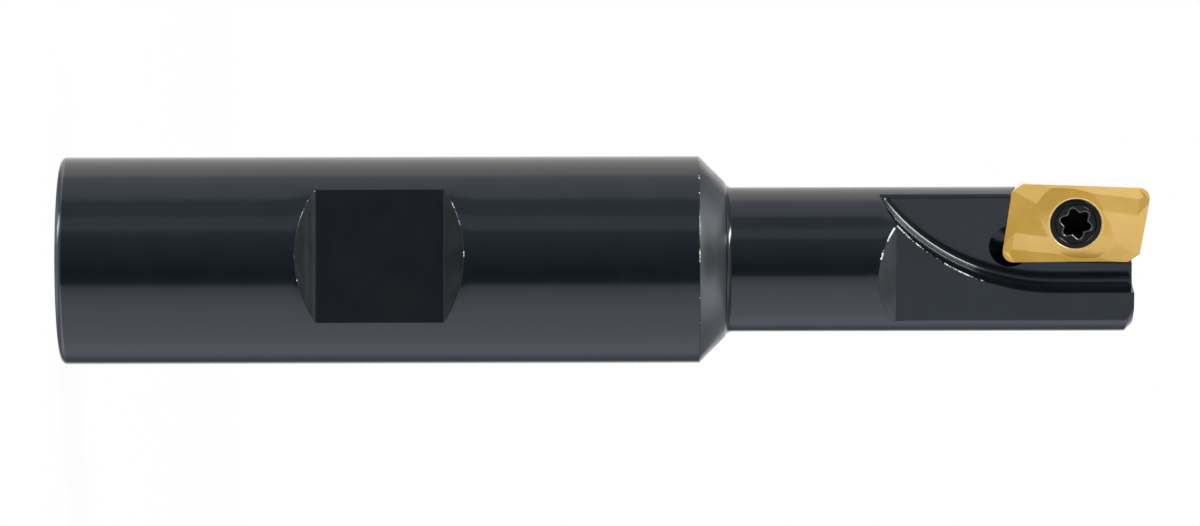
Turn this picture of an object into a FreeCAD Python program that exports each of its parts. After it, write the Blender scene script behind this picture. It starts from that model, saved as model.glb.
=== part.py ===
"""Indexable end mill: a steel cutter body with a side-lock shank and one carbide insert, held by one screw.

The tool axis is Z. The shank's end face lies on Z = 0 and the cutting head points up.
The insert's top faces -Y, and its active cutting edge lies on the -X side.
"""
import FreeCAD, Part
import math
import os
import re
import Sketcher

# Driving sizes in millimetres and degrees, one cell each.
SIZES = [
    ("shank_diameter", 15.875, "straight shank, five eighths of an inch"),
    ("shank_length", 48.9, "from the shank's end to the cone"),
    ("shank_chamfer", 0.5, "edge break of the shank's end"),
    ("cone_angle", 45, "slope of the cone against the axis"),
    ("neck_diameter", 11.08, "neck and cutting head"),
    ("neck_fillet", 1.0, "round between the cone and the neck"),
    ("body_length", 82.1, "from the shank's end to the head's end face"),
    ("head_chamfer", 0.6, "edge break of the head's end"),
    ("clamp_flat_depth", 1.82, "how far the clamping flat is cut into the shank"),
    ("clamp_flat_start", 19.73, "where the flat's floor starts, from the shank's end"),
    ("clamp_flat_length", 9.75, "length of the flat's floor"),
    ("clamp_flat_slope", 50, "slope of the flat's two ends against the axis"),
    ("clamp_flat_turn", 19.3, "turn of the flat about the axis, away from the insert's side"),
    ("clamp_flat_round", 0.25, "round at the foot of the flat's ends"),
    ("front_flat_height", 4.07, "from the axis to the flat in front of the gullet"),
    ("front_flat_turn", 1.0, "turn of that flat about the axis against the gullet's floor"),
    ("front_flat_length", 18.2, "length of the front flat's floor, back from the head's end"),
    ("front_flat_slope", 47, "slope of the front flat's end against the axis"),
    ("gullet_height", 1.2, "from the axis to the gullet's floor"),
    ("gullet_offset", 1.5, "from the axis to the gullet's straight wall"),
    ("gullet_radius", 16.4, "arc of the gullet's wall where it runs out"),
    ("gullet_straight", 6.0, "length of the gullet's straight wall, back from the head's end"),
    ("gullet_round", 0.8, "round between the gullet's floor and wall"),
    ("gullet_chamfer", 0.35, "edge break along the gullet's open side"),
    ("insert_setback", 4.36, "from the head's end back to the insert's hole"),
    ("insert_offset", 3.13, "from the axis to the insert's hole"),
    ("insert_lean", 1.75, "turn of the insert in its seat"),
    ("seat_depth", 1.9, "from the axis to the seat under the insert"),
    ("seat_clearance", 0.02, "between the insert's flanks and the pocket's walls"),
    ("relief_diameter", 3.2, "corner relief of the pocket"),
    ("relief_depth", 0.3, "how far the relief goes below the seat"),
    ("relief_across", 1.18, "from the pocket's corner to the relief's centre, across the insert"),
    ("relief_along", 0.67, "from the pocket's corner to the relief's centre, along the insert"),
    ("insert_length", 10.65, "between the insert's short flanks, at the cutting edges"),
    ("insert_width", 6.22, "between the insert's long flanks, at the cutting edges"),
    ("insert_thickness", 3.5, "from the seat to the highest cutting edge"),
    ("insert_slope", 5, "lean of the short flanks, which makes the 85 degree corners"),
    ("flank_angle", 11, "clearance angle of all flanks"),
    ("nose_radius", 0.85, "round of the two cutting corners"),
    ("corner_cut_along", 0.86, "cut of the two blunt corners along the long flank"),
    ("corner_cut_across", 0.72, "cut of the two blunt corners along the short flank"),
    ("face_drop", 0.36, "from the highest cutting edge down to the insert's middle face"),
    ("edge_slope", 4.9, "fall of a long cutting edge along the insert"),
    ("rake_angle", 20, "slope of the rake faces inwards from the cutting edges"),
    ("groove_overrun", 0.15, "how far the chip groove's end sections stand outside the insert"),
    ("groove_start", 1.06, "width of the rake face at the cutting corner"),
    ("groove_end", 0.18, "width of the rake face at the blunt corner"),
    ("wall_start", 2.35, "from the long flank to the chip groove's inner edge at the cutting corner"),
    ("wall_end", 0.26, "from the long flank to the chip groove's inner edge at the blunt corner"),
    ("end_fall", 4.5, "slope of the two end faces down to the short flanks"),
    ("end_start", 2.9, "from the hole's axis to where the end faces start to fall"),
    ("step_along", 4.58, "from the hole's axis to the inner end of the step behind the corner"),
    ("step_angle", 50.8, "turn of that step away from the long flank"),
    ("step_slope", 30, "lean of that step's wall"),
    ("hub_diameter", 5.3, "top of the raised ring around the hole"),
    ("hub_height", 0.05, "height of the raised ring over the middle face"),
    ("hub_foot", 0.45, "how far the raised ring's side reaches down into the chip grooves"),
    ("hub_slope", 58, "slope of the raised ring's side"),
    ("hole_diameter", 2.8, "insert's hole below the screw's head"),
    ("rim_diameter", 4.25, "mouth of the hole's countersink"),
    ("countersink_angle", 30, "half angle of the countersink and of the screw's head"),
    ("head_diameter", 3.9, "screw's head"),
    ("head_rise", 0.24, "height of the head above its widest line"),
    ("head_round", 0.22, "round of the head's top edge"),
    ("screw_diameter", 2.5, "screw's thread, drawn plain"),
    ("screw_length", 5.3, "from the top of the screw's head to its tip"),
    ("screw_chamfer", 0.25, "edge break of the screw's tip"),
    ("thread_clearance", 0.02, "between the screw and its hole in the body"),
    ("head_clearance", 0.01, "between the screw's head and the countersink"),
    ("socket_diameter", 1.9, "middle of the six-lobed socket"),
    ("lobe_diameter", 0.5, "each lobe of the socket"),
    ("lobe_circle", 1.86, "circle that the lobes' centres lie on"),
    ("socket_turn", 15.75, "turn of the first lobe about the screw"),
    ("socket_depth", 1.1, "depth of the socket"),
    ("cut_margin", 1.5, "how far a cutting profile runs past the solid"),
]

# The pocket, the insert and the screw share one place along the tool and one turn about the hole.
HOLE_ALONG = "(body_length - insert_setback)"
SEAT_TURN = "-insert_lean"
# From the hole to the insert's cutting and blunt corners, along the insert.
CORNER_ALONG = "(insert_length / 2 / cos(insert_slope) + insert_width / 2 * tan(insert_slope))"
BLUNT_ALONG = "(insert_length / 2 / cos(insert_slope) - insert_width / 2 * tan(insert_slope))"
# Heights above the seat: the middle face, the hole's mouth and the screw head's widest line.
FACE_HEIGHT = "(insert_thickness - face_drop)"
MOUTH_HEIGHT = f"({FACE_HEIGHT} + hub_height)"
COUNTERSINK_DEPTH = "((rim_diameter - hole_diameter) / 2 / tan(countersink_angle))"
HEAD_LINE = (f"({MOUTH_HEIGHT}"
             " - ((rim_diameter - head_diameter) / 2 - head_clearance) / tan(countersink_angle))")

AGREEMENT = 0.02
SMALLEST_CHANGE = 1e-6

document = FreeCAD.newDocument("IndexableEndMill")
sheet = document.addObject("Spreadsheet::Sheet", "Sizes")
for row, (alias, number, meaning) in enumerate(SIZES, start=1):
    sheet.set(f"A{row}", alias)
    sheet.set(f"B{row}", str(number))
    sheet.set(f"C{row}", meaning)
    sheet.setAlias(f"B{row}", alias)
document.recompute()


def cells(formula):
    """Turns a formula over size names into an expression over the sheet's cells."""
    return re.sub(r"[a-z]+(?:_[a-z]+)+", lambda name: "Sizes." + name.group(0), formula)


def value(formula):
    """The present number of a formula over size names."""
    return float(sheet.evalExpression(cells(formula)))


def bind(item, **formulas):
    """Ties properties of an object to formulas over size names."""
    for name, formula in formulas.items():
        item.setExpression(name, cells(formula))


def origin_item(body, role):
    """One of the body's own origin planes or axes."""
    return next(item for item in body.Origin.OriginFeatures if item.Role == role)


def new_body(name):
    """A body whose label names its file."""
    body = document.addObject("PartDesign::Body", name)
    body.Label = name
    return body


def new_sketch(body, role, name, turn_about=None, turn="0", shift=("0", "0", "0")):
    """A sketch on one of the body's origin planes, turned and shifted by formulas."""
    sketch = body.newObject("Sketcher::SketchObject", name)
    sketch.AttachmentSupport = [(origin_item(body, role), "")]
    sketch.MapMode = "FlatFace"
    if turn_about is not None:
        rotation = FreeCAD.Rotation(FreeCAD.Vector(*turn_about), value(turn))
        sketch.AttachmentOffset = FreeCAD.Placement(FreeCAD.Vector(), rotation)
        sketch.setExpression("AttachmentOffset.Rotation.Angle", cells(turn))
    for axis, formula in zip("xyz", shift):
        sketch.setExpression(f"AttachmentOffset.Base.{axis}", cells(formula))
    return sketch


def pin(sketch, geometry, point, across, up):
    """Ties a point of a sketch to formulas for its place; a coordinate of None stays free."""
    for kind, formula in (("DistanceX", across), ("DistanceY", up)):
        if formula is not None:
            rule = Sketcher.Constraint(kind, -1, 1, geometry, point, value(formula))
            sketch.setExpression(f"Constraints[{sketch.addConstraint(rule)}]", cells(formula))


def draw_outline(sketch, corners):
    """A closed outline of straight lines through corners that are given as pairs of formulas."""
    points = [FreeCAD.Vector(value(across), value(up), 0) for across, up in corners]
    lines = []
    for start, end in zip(points, points[1:] + points[:1]):
        lines.append(sketch.addGeometry(Part.LineSegment(start, end)))
    for line, following in zip(lines, lines[1:] + lines[:1]):
        sketch.addConstraint(Sketcher.Constraint("Coincident", line, 2, following, 1))
    for line, (across, up) in zip(lines, corners):
        pin(sketch, line, 1, across, up)


def draw_circle(sketch, across, up, radius):
    """A circle with its centre and radius given as formulas."""
    centre = FreeCAD.Vector(value(across), value(up), 0)
    circle = sketch.addGeometry(Part.Circle(centre, FreeCAD.Vector(0, 0, 1), value(radius)))
    pin(sketch, circle, 3, across, up)
    rule = Sketcher.Constraint("Radius", circle, value(radius))
    sketch.setExpression(f"Constraints[{sketch.addConstraint(rule)}]", cells(radius))


def turned(body, name, sketch, cut=False):
    """A full turn of a profile about its own vertical axis."""
    kind = "PartDesign::Groove" if cut else "PartDesign::Revolution"
    feature = body.newObject(kind, name)
    feature.Profile = sketch
    feature.ReferenceAxis = (sketch, ["V_Axis"])
    feature.Angle = 360
    return finished(feature, cut)


def pocket(body, name, sketch, depth=None, through=False, both_sides=False, upward=False, taper=None):
    """A cut along the sketch's normal: to a depth, right through, or to both sides."""
    feature = body.newObject("PartDesign::Pocket", name)
    feature.Profile = sketch
    if through:
        feature.Type = "ThroughAll"
    else:
        bind(feature, Length=depth)
    feature.Midplane = both_sides
    feature.Reversed = upward
    if taper is not None:
        bind(feature, TaperAngle=taper)
    return finished(feature, True)


def dressed(body, name, kind, base, edges, **formulas):
    """A fillet or chamfer on some edges of the feature before it."""
    feature = body.newObject(kind, name)
    feature.Base = (base, edges)
    bind(feature, **formulas)
    document.recompute()
    return feature


def finished(feature, cut):
    """Recomputes and makes sure that a cut took something away and an addition added something."""
    base = feature.Originals[-1] if hasattr(feature, "Originals") else feature.BaseFeature
    before = base.Shape.Volume if base else 0.0
    document.recompute()
    change = feature.Shape.Volume - before
    if (change < 0) != cut or abs(change) < SMALLEST_CHANGE:
        raise RuntimeError(f"{feature.Name} changed the volume by {change:.4f}")
    return feature


def edges_where(feature, wanted):
    """Names of the edges whose middle point and curve pass a test."""
    names = []
    for number, edge in enumerate(feature.Shape.Edges, start=1):
        middle = edge.valueAt((edge.FirstParameter + edge.LastParameter) / 2)
        if wanted(edge, middle):
            names.append(f"Edge{number}")
    if not names:
        raise RuntimeError(f"no edge of {feature.Name} passes the test")
    return names


def near(first, second):
    """Whether two lengths agree."""
    return abs(first - second) < AGREEMENT


def build_turned_blank(body):
    """The shank, cone, neck and head, turned in one go, with the round at the cone's foot."""
    cone_end = "(shank_length + (shank_diameter - neck_diameter) / 2 / tan(cone_angle))"
    profile = new_sketch(body, "XZ_Plane", "turned_profile")
    draw_outline(profile, [
        ("0", "0"),
        ("shank_diameter / 2 - shank_chamfer", "0"),
        ("shank_diameter / 2", "shank_chamfer"),
        ("shank_diameter / 2", "shank_length"),
        ("neck_diameter / 2", cone_end),
        ("neck_diameter / 2", "body_length - head_chamfer"),
        ("neck_diameter / 2 - head_chamfer", "body_length"),
        ("0", "body_length"),
    ])
    blank = turned(body, "turned_blank", profile)
    foot = edges_where(blank, lambda edge, middle: near(middle.z, value(cone_end)))
    return dressed(body, "cone_foot", "PartDesign::Fillet", blank, foot, Radius="neck_fillet")


def build_clamp_flat(body):
    """The flat that the holder's set screw presses on, with its two slanted ends."""
    floor = "-(shank_diameter / 2 - clamp_flat_depth)"
    outside = "-(shank_diameter / 2 + cut_margin)"
    run = "((clamp_flat_depth + cut_margin) / tan(clamp_flat_slope))"
    profile = new_sketch(body, "YZ_Plane", "clamp_flat_profile", (0, 1, 0), "-clamp_flat_turn")
    draw_outline(profile, [
        (floor, "clamp_flat_start"),
        (floor, "clamp_flat_start + clamp_flat_length"),
        (outside, f"clamp_flat_start + clamp_flat_length + {run}"),
        (outside, f"clamp_flat_start - {run}"),
    ])
    flat = pocket(body, "clamp_flat", profile, depth="2 * shank_diameter", both_sides=True)
    first = value("clamp_flat_start")
    last = first + value("clamp_flat_length")
    feet = edges_where(flat, lambda edge, middle: edge.Curve.TypeId == "Part::GeomLine"
                       and (near(middle.z, first) or near(middle.z, last)))
    return dressed(body, "clamp_flat_feet", "PartDesign::Fillet", flat, feet, Radius="clamp_flat_round")


def build_front_flat(body):
    """The flat in front of the gullet, which gives the chips room."""
    floor = "-front_flat_height"
    outside = "-(neck_diameter / 2 + cut_margin)"
    start = "(body_length - front_flat_length)"
    run = "((neck_diameter / 2 + cut_margin - front_flat_height) / tan(front_flat_slope))"
    profile = new_sketch(body, "YZ_Plane", "front_flat_profile", (0, 1, 0), "-front_flat_turn")
    draw_outline(profile, [
        (floor, start),
        (floor, "body_length + cut_margin"),
        (outside, "body_length + cut_margin"),
        (outside, f"{start} - {run}"),
    ])
    return pocket(body, "front_flat", profile, depth="2 * neck_diameter", both_sides=True)


def build_gullet(body):
    """The chip gullet: a flat floor beside the axis and a wall that runs out in one large arc."""
    profile = new_sketch(body, "XZ_Plane", "gullet_profile", shift=("0", "0", "neck_diameter / 2"))
    outside = "-(neck_diameter / 2 + cut_margin)"
    top = "body_length + cut_margin"
    centre = "(gullet_offset - gullet_radius)"
    arc_start = "(body_length - gullet_straight)"
    run_out = f"{arc_start} - sqrt(gullet_radius ^ 2 - ({outside} - {centre}) ^ 2)"
    corners = [
        ("gullet_offset", arc_start),
        ("gullet_offset", top),
        (outside, top),
        (outside, run_out),
    ]
    points = [FreeCAD.Vector(value(across), value(up), 0) for across, up in corners]
    lines = []
    for start, end in zip(points, points[1:]):
        lines.append(profile.addGeometry(Part.LineSegment(start, end)))
    middle = FreeCAD.Vector(value(centre), value(arc_start), 0)
    circle = Part.Circle(middle, FreeCAD.Vector(0, 0, 1), value("gullet_radius"))
    arc = profile.addGeometry(Part.ArcOfCircle(circle, circle.parameter(points[-1]), math.tau))
    for line, following in zip(lines, lines[1:]):
        profile.addConstraint(Sketcher.Constraint("Coincident", line, 2, following, 1))
    profile.addConstraint(Sketcher.Constraint("Coincident", lines[2], 2, arc, 1))
    profile.addConstraint(Sketcher.Constraint("Coincident", arc, 2, lines[0], 1))
    pin(profile, arc, 3, centre, arc_start)
    pin(profile, lines[0], 1, "gullet_offset", arc_start)
    pin(profile, lines[1], 1, "gullet_offset", top)
    pin(profile, lines[2], 1, outside, top)
    pin(profile, lines[2], 2, outside, None)
    floor_cut = pocket(body, "gullet", profile, depth="neck_diameter / 2 - gullet_height")
    floor = value("-gullet_height")
    side = -(value("neck_diameter / 2") ** 2 - floor ** 2) ** 0.5
    open_side = edges_where(floor_cut, lambda edge, middle: near(middle.y, floor) and near(middle.x, side))
    broken = dressed(body, "gullet_edge", "PartDesign::Chamfer", floor_cut, open_side, Size="gullet_chamfer")
    wall_foot = edges_where(broken, lambda edge, middle: near(middle.y, floor)
                            and near(edge.BoundBox.YLength, 0)
                            and (edge.Curve.TypeId == "Part::GeomCircle"
                                 or near(middle.x, value("gullet_offset"))))
    return dressed(body, "gullet_foot", "PartDesign::Fillet", broken, wall_foot, Radius="gullet_round")


def seat_sketch(body, name):
    """A sketch on the cutter body in the insert's own frame, level with the insert's top."""
    level = "insert_thickness - seat_depth"
    return new_sketch(body, "XZ_Plane", name, (0, 0, 1), SEAT_TURN, ("-insert_offset", HOLE_ALONG, level))


def build_insert_pocket(body):
    """The pocket that holds the insert on its seat and two flanks, with its corner relief and tapped hole."""
    wall = "(insert_width / 2 + seat_clearance)"
    back = "(insert_length / 2 + seat_clearance) / cos(insert_slope)"
    profile = seat_sketch(body, "pocket_profile")
    draw_outline(profile, [
        (wall, f"-({back} + {wall} * tan(insert_slope))"),
        (wall, "insert_length"),
        ("-insert_width", "insert_length"),
        ("-insert_width", f"-({back} - insert_width * tan(insert_slope))"),
    ])
    pocket(body, "insert_pocket", profile, depth="insert_thickness", taper="-flank_angle")
    relief = seat_sketch(body, "relief_circle")
    draw_circle(relief, "insert_width / 2 - relief_across", f"relief_along - {CORNER_ALONG}",
                "relief_diameter / 2")
    pocket(body, "corner_relief", relief, depth="insert_thickness + relief_depth")
    hole = seat_sketch(body, "tapped_circle")
    draw_circle(hole, "0", "0", "screw_diameter / 2 + thread_clearance")
    return pocket(body, "tapped_hole", hole, through=True)


def build_cutter_body():
    """The one-piece steel body."""
    body = new_body("cutter_body")
    build_turned_blank(body)
    build_clamp_flat(body)
    build_front_flat(body)
    build_gullet(body)
    body.Tip = build_insert_pocket(body)
    return body


def place_on_seat(body):
    """Stands a body that is modelled on its own XY plane on the seat, with its Z along the screw."""
    body.setExpression("Placement", cells(
        f"placement(vector(-insert_offset; seat_depth; {HOLE_ALONG});"
        f" rotationx(90) * rotationz({SEAT_TURN}))"))


def build_insert_blank(body):
    """The insert's parallelogram with its flanks, blunt corners and rounded cutting corners."""
    cut_side = "corner_cut_across * cos(insert_slope)"
    cut_drop = "corner_cut_across * sin(insert_slope)"
    profile = new_sketch(body, "XY_Plane", "insert_profile", shift=("0", "0", "insert_thickness"))
    draw_outline(profile, [
        ("-insert_width / 2", CORNER_ALONG),
        ("-insert_width / 2", f"corner_cut_along - {BLUNT_ALONG}"),
        (f"{cut_side} - insert_width / 2", f"-{BLUNT_ALONG} - {cut_drop}"),
        ("insert_width / 2", f"-{CORNER_ALONG}"),
        ("insert_width / 2", f"{BLUNT_ALONG} - corner_cut_along"),
        (f"insert_width / 2 - {cut_side}", f"{BLUNT_ALONG} + {cut_drop}"),
    ])
    blank = body.newObject("PartDesign::Pad", "insert_blank")
    blank.Profile = profile
    blank.Reversed = True
    bind(blank, Length="insert_thickness", TaperAngle="-flank_angle")
    finished(blank, False)
    noses = edges_where(blank, lambda edge, middle: edge.BoundBox.ZLength > value("insert_thickness") / 2
                        and middle.x * middle.y < 0)
    return dressed(body, "cutting_corners", "PartDesign::Fillet", blank, noses, Radius="nose_radius")


def groove_section(body, name, along, edge_height, rake_width, wall_distance):
    """The chip groove's section across the insert at one of its ends, open towards the top."""
    section = new_sketch(body, "XZ_Plane", name, shift=("0", "0", f"-({along})"))
    flank = "insert_width / 2"
    over = "cut_margin * tan(rake_angle)"
    draw_outline(section, [
        (f"{flank} + cut_margin", f"{edge_height} + {over}"),
        (f"{flank} + cut_margin", "insert_thickness + 2 * cut_margin"),
        (f"{flank} - {wall_distance}", "insert_thickness + 2 * cut_margin"),
        (f"{flank} - {wall_distance}", FACE_HEIGHT),
        (f"{flank} - {rake_width}", f"{edge_height} - {rake_width} * tan(rake_angle)"),
    ])
    return section


def build_rake_faces(body):
    """The middle face, and the chip grooves and end faces, which are repeated half a turn on."""
    inner_start = "(insert_width / 2 - wall_start)"
    inner_end = "(insert_width / 2 - wall_end)"
    reach = f"({CORNER_ALONG} + groove_overrun)"
    edge_run = f"(2 * {reach} - nose_radius - groove_overrun)"
    middle = new_sketch(body, "XY_Plane", "middle_outline", shift=("0", "0", "insert_thickness"))
    draw_outline(middle, [
        (inner_start, f"-{reach}"),
        (inner_end, reach),
        (f"-{inner_start}", reach),
        (f"-{inner_end}", f"-{reach}"),
    ])
    pocket(body, "middle_face", middle, depth="face_drop")
    high = groove_section(body, "groove_at_corner", f"-{reach}",
                          "insert_thickness + (nose_radius + groove_overrun) * tan(edge_slope)",
                          "groove_start", "wall_start")
    low = groove_section(body, "groove_at_blunt_end", reach,
                         f"insert_thickness - {edge_run} * tan(edge_slope)",
                         "groove_end", "wall_end")
    groove = body.newObject("PartDesign::SubtractiveLoft", "chip_groove")
    groove.Profile = high
    groove.Sections = [low]
    groove.Ruled = True
    finished(groove, True)
    inner = f"({inner_start} + ({reach} - step_along) / (2 * {reach}) * (wall_start - wall_end))"
    outline = new_sketch(body, "XY_Plane", "end_outline", (1, 0, 0), "end_fall",
                         ("0", "-end_start", FACE_HEIGHT))
    draw_outline(outline, [
        (inner, "end_start - step_along"),
        (inner, "0"),
        ("-insert_width", "0"),
        ("-insert_width", "-insert_width"),
        (f"{inner} + (insert_width - step_along + end_start) / tan(step_angle)", "-insert_width"),
    ])
    end_face = pocket(body, "end_face", outline, depth="face_drop + 2 * cut_margin", upward=True,
                      taper="step_slope")
    pattern = body.newObject("PartDesign::PolarPattern", "face_pair")
    pattern.Originals = [groove, end_face]
    pattern.Axis = (origin_item(body, "Z_Axis"), [""])
    pattern.Angle = 360
    pattern.Occurrences = 2
    body.Tip = pattern
    return finished(pattern, True)


def build_insert_hole(body):
    """The raised ring around the hole, and the hole with its countersink."""
    ring = new_sketch(body, "XZ_Plane", "ring_profile")
    draw_outline(ring, [
        ("0", f"{MOUTH_HEIGHT} - hub_foot"),
        ("hub_diameter / 2 + hub_foot / tan(hub_slope)", f"{MOUTH_HEIGHT} - hub_foot"),
        ("hub_diameter / 2", MOUTH_HEIGHT),
        ("0", MOUTH_HEIGHT),
    ])
    turned(body, "raised_ring", ring)
    hole = new_sketch(body, "XZ_Plane", "hole_profile")
    draw_outline(hole, [
        ("0", "-cut_margin"),
        ("hole_diameter / 2", "-cut_margin"),
        ("hole_diameter / 2", f"{MOUTH_HEIGHT} - {COUNTERSINK_DEPTH}"),
        ("rim_diameter / 2 + cut_margin * tan(countersink_angle)", f"{MOUTH_HEIGHT} + cut_margin"),
        ("0", f"{MOUTH_HEIGHT} + cut_margin"),
    ])
    return turned(body, "countersunk_hole", hole, cut=True)


def build_cutting_insert():
    """The carbide insert."""
    body = new_body("cutting_insert")
    build_insert_blank(body)
    build_rake_faces(body)
    body.Tip = build_insert_hole(body)
    place_on_seat(body)
    return body


def build_insert_screw():
    """The countersunk screw with a six-lobed socket."""
    body = new_body("insert_screw")
    top = f"({HEAD_LINE} + head_rise)"
    tip = f"({top} - screw_length)"
    under = f"({HEAD_LINE} - (head_diameter - screw_diameter) / 2 / tan(countersink_angle))"
    profile = new_sketch(body, "XZ_Plane", "screw_profile")
    draw_outline(profile, [
        ("0", tip),
        ("screw_diameter / 2 - screw_chamfer", tip),
        ("screw_diameter / 2", f"{tip} + screw_chamfer"),
        ("screw_diameter / 2", under),
        ("head_diameter / 2", HEAD_LINE),
        ("head_diameter / 2", top),
        ("0", top),
    ])
    shape = turned(body, "screw_blank", profile)
    rim = edges_where(shape, lambda edge, middle: near(middle.z, value(top))
                      and edge.Curve.TypeId == "Part::GeomCircle")
    dressed(body, "head_edge", "PartDesign::Fillet", shape, rim, Radius="head_round")
    middle_circle = new_sketch(body, "XY_Plane", "socket_circle", shift=("0", "0", top))
    draw_circle(middle_circle, "0", "0", "socket_diameter / 2")
    pocket(body, "socket_middle", middle_circle, depth="socket_depth")
    lobe_circle = new_sketch(body, "XY_Plane", "lobe_profile", shift=("0", "0", top))
    draw_circle(lobe_circle, "lobe_circle / 2 * cos(socket_turn)", "lobe_circle / 2 * sin(socket_turn)",
                "lobe_diameter / 2")
    lobe = pocket(body, "socket_lobe", lobe_circle, depth="socket_depth")
    pattern = body.newObject("PartDesign::PolarPattern", "socket_lobes")
    pattern.Originals = [lobe]
    pattern.Axis = (origin_item(body, "Z_Axis"), [""])
    pattern.Angle = 360
    pattern.Occurrences = 6
    body.Tip = pattern
    finished(pattern, True)
    place_on_seat(body)
    return body


def write_parts(bodies):
    """Checks every object of the document and each solid, then writes one file for each piece."""
    document.recompute()
    failed = [item.Name for item in document.Objects if {"Invalid", "Error"} & set(item.State)]
    if failed:
        raise RuntimeError("failed objects: " + ", ".join(failed))
    for body in bodies:
        shape = body.Shape
        if shape.isNull() or not shape.isValid() or len(shape.Solids) != 1:
            raise RuntimeError(f"{body.Label} is not one valid solid")
    os.makedirs("parts", exist_ok=True)
    for body in bodies:
        body.Shape.exportStep(f"parts/{body.Label}.step")
        box = body.Shape.optimalBoundingBox()
        print(f"{body.Label}: {body.Shape.Volume:.2f} mm3, X {box.XMin:.2f} to {box.XMax:.2f},"
              f" Y {box.YMin:.2f} to {box.YMax:.2f}, Z {box.ZMin:.2f} to {box.ZMax:.2f}")


write_parts([build_cutter_body(), build_cutting_insert(), build_insert_screw()])
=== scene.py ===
# %% [markdown]
# # An indexable end mill
#
# The tool is a blackened steel body with a straight shank, a cone and a slim neck. Its head has a
# chip gullet and a pocket, and one gold-coloured carbide insert sits in that pocket under a screw.
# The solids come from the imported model. This lesson builds finer surfaces over them, gives each
# finish its own material, and lights them like a tool on a photographer's table.

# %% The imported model
import math

import bmesh
import bpy
from mathutils import Matrix, Vector


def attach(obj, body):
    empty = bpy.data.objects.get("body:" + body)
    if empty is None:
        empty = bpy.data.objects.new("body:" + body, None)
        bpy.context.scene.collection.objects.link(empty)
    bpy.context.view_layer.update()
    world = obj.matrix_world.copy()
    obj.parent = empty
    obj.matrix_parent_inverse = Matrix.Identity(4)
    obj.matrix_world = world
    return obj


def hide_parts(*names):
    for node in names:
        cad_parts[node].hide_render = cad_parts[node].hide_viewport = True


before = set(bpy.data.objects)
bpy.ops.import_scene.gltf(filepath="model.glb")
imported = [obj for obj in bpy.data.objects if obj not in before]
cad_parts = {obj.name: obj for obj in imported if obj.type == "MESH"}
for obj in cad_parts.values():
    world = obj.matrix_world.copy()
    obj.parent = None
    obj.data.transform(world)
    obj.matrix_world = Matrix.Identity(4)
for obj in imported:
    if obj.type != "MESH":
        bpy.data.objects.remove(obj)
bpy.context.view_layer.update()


# %% [markdown]
# ## Camera
#
# The tool lies across the picture, so the camera is turned until the tool's axis, which is Z here,
# points to the right. It looks from a long way off with a long lens, which keeps the shank's two
# outlines parallel. The small roll is the tool's own: it lies a tenth of a degree off the level.

# %% Camera
VIEW_TURN = math.radians(-16.5)
VIEW_ROLL = math.radians(0.126)
VIEW_DISTANCE = 0.5299
VIEW_CENTRE_ALONG = 0.04133
VIEW_CENTRE_BELOW = 0.00026
LENS_LENGTH = 207

toward_camera = Vector((math.sin(VIEW_TURN), -math.cos(VIEW_TURN), 0))
picture_up = Vector((-math.cos(VIEW_TURN), -math.sin(VIEW_TURN), 0))
tool_axis = Vector((0, 0, 1))

camera = bpy.data.objects.new("camera", bpy.data.cameras.new("camera"))
camera.data.lens = LENS_LENGTH
right = tool_axis * math.cos(VIEW_ROLL) - picture_up * math.sin(VIEW_ROLL)
above = picture_up * math.cos(VIEW_ROLL) + tool_axis * math.sin(VIEW_ROLL)
turn = Matrix((right, above, toward_camera)).transposed().to_4x4()
centre = tool_axis * VIEW_CENTRE_ALONG - picture_up * VIEW_CENTRE_BELOW
camera.matrix_world = Matrix.Translation(centre + toward_camera * VIEW_DISTANCE) @ turn
bpy.context.scene.collection.objects.link(camera)
bpy.context.scene.camera = camera
bpy.context.scene.view_settings.view_transform = "Standard"
print("camera at", [round(number, 3) for number in camera.location])

# %% [markdown]
# ## Helpers for the nodes
#
# Each helper makes one node, joins it and gives its output back, so that a tree reads like a sum.

# %% Node helpers
WHITE = (1, 1, 1, 1)


def add(tree, kind, inputs=(), **settings):
    """Makes a node, sets it up and feeds its inputs with values or sockets; gives its outputs."""
    node = tree.nodes.new(kind)
    for name, value in settings.items():
        setattr(node, name, value)
    for name, given in dict(inputs).items():
        if isinstance(given, bpy.types.NodeSocket):
            tree.links.new(given, node.inputs[name])
        else:
            node.inputs[name].default_value = given
    return node.outputs


def math_node(tree, operation, *inputs):
    """A Math node on numbers and sockets."""
    return add(tree, "ShaderNodeMath", enumerate(inputs), operation=operation)[0]


def times(tree, first, second):
    """The product of two numbers or sockets."""
    return math_node(tree, "MULTIPLY", first, second)


def mapped(tree, source, scale=(1, 1, 1), turn=(0, 0, 0)):
    """Coordinates that are scaled and turned."""
    inputs = {"Vector": source, "Scale": scale, "Rotation": turn}
    return add(tree, "ShaderNodeMapping", inputs)["Vector"]


def ranged(tree, source, low, high, to_low=0.0, to_high=1.0):
    """A smooth step of a value from one range to another."""
    limits = {"From Min": low, "From Max": high, "To Min": to_low, "To Max": to_high}
    return add(tree, "ShaderNodeMapRange", {"Value": source, **limits},
               interpolation_type="SMOOTHSTEP")["Result"]


def mixed(tree, amount, first, second):
    """A colour between two colours. A Mix node's sockets 6, 7 and 2 are the ones for colours."""
    inputs = {0: amount, 6: first, 7: second}
    return add(tree, "ShaderNodeMix", inputs, data_type="RGBA", clamp_factor=True)[2]


def mixed_shader(tree, amount, first, second):
    """A shader between two shaders."""
    return add(tree, "ShaderNodeMixShader", enumerate((amount, first, second)))[0]


def ramped(tree, value, stops):
    """A color ramp on a value; each stop is a place and a tint."""
    node = tree.nodes.new("ShaderNodeValToRGB")
    tree.links.new(value, node.inputs["Fac"])
    elements = node.color_ramp.elements
    for number, (place, tint) in enumerate(stops):
        stop = elements[number] if number < len(elements) else elements.new(place)
        stop.position = place
        stop.color = (*tint, 1)
    return node.outputs["Color"]


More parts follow.
